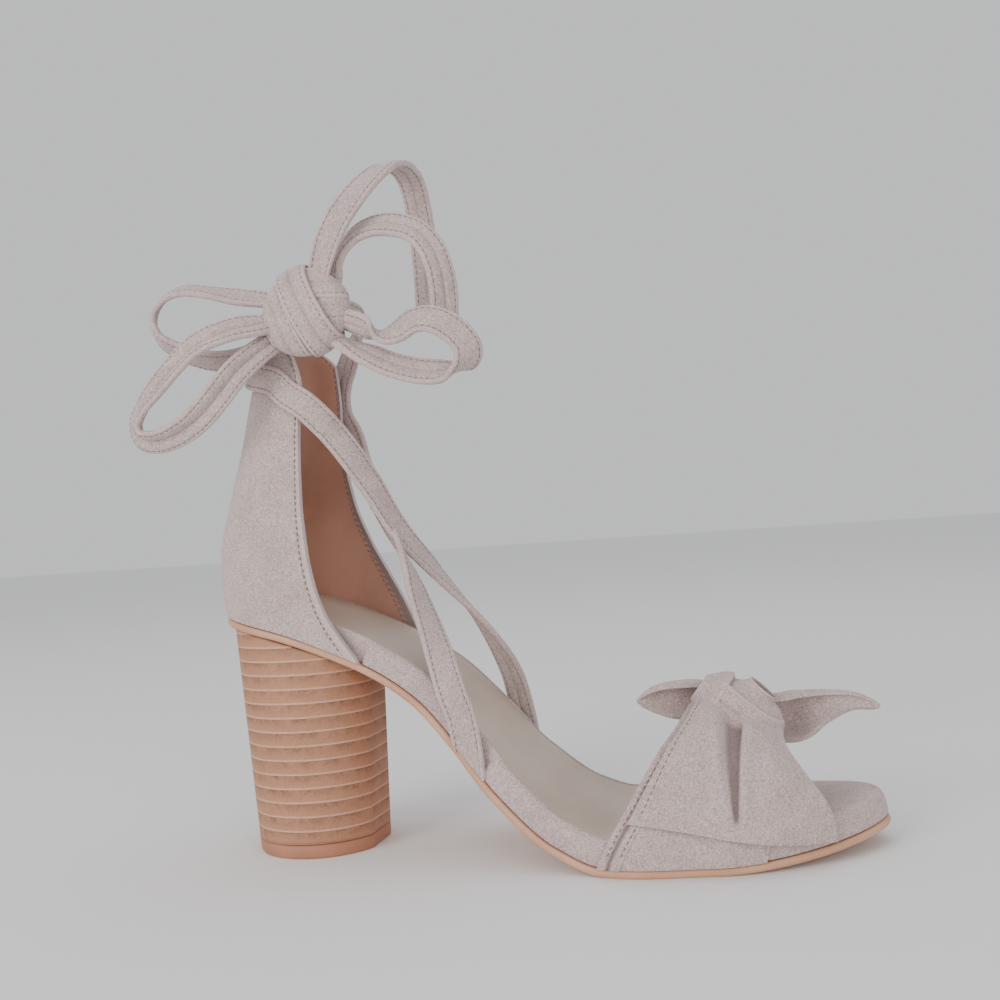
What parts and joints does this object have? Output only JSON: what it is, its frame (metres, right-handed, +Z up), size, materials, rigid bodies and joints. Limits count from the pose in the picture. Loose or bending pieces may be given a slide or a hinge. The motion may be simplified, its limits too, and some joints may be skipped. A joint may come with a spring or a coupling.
{
  "type": "lace up heeled sandal",
  "caption": "Open toe sandal with a high round heel, a heel cup, a draped toe band with a bow, and straps that cross the instep and tie beside the ankle.",
  "frame": {"origin": "on the floor, at the bottom centre of the shoe's bounding box without the knot, loops and ends of the tie", "axes": "+X towards the toe, +Y towards the inner side of the foot, +Z up; the shoe stands on its heel and forefoot"},
  "size_m": [0.247, 0.0853, 0.2417],
  "materials": {
    "suede": "matt nap",
    "sole_leather": "satin",
    "heel_stack": "satin, stacked layers",
    "top_lift": "matt",
    "sock_leather": "satin"
  },
  "bodies": {
    "root": {"outsole": "sole_leather", "heel_stack": "heel_stack", "top_lift": "top_lift", "insole_board": "suede", "insole_sock": "sock_leather", "heel_cup": "suede", "toe_band": "suede", "toe_drape": "suede", "toe_bow": "suede", "ankle_straps": "suede", "tie_knot": "suede", "tie_loop_upper": "suede", "tie_loop_lower": "suede", "tie_loop_right": "suede", "tie_end_over": "suede", "tie_end_forward": "suede"}
  },
  "joints": []
}
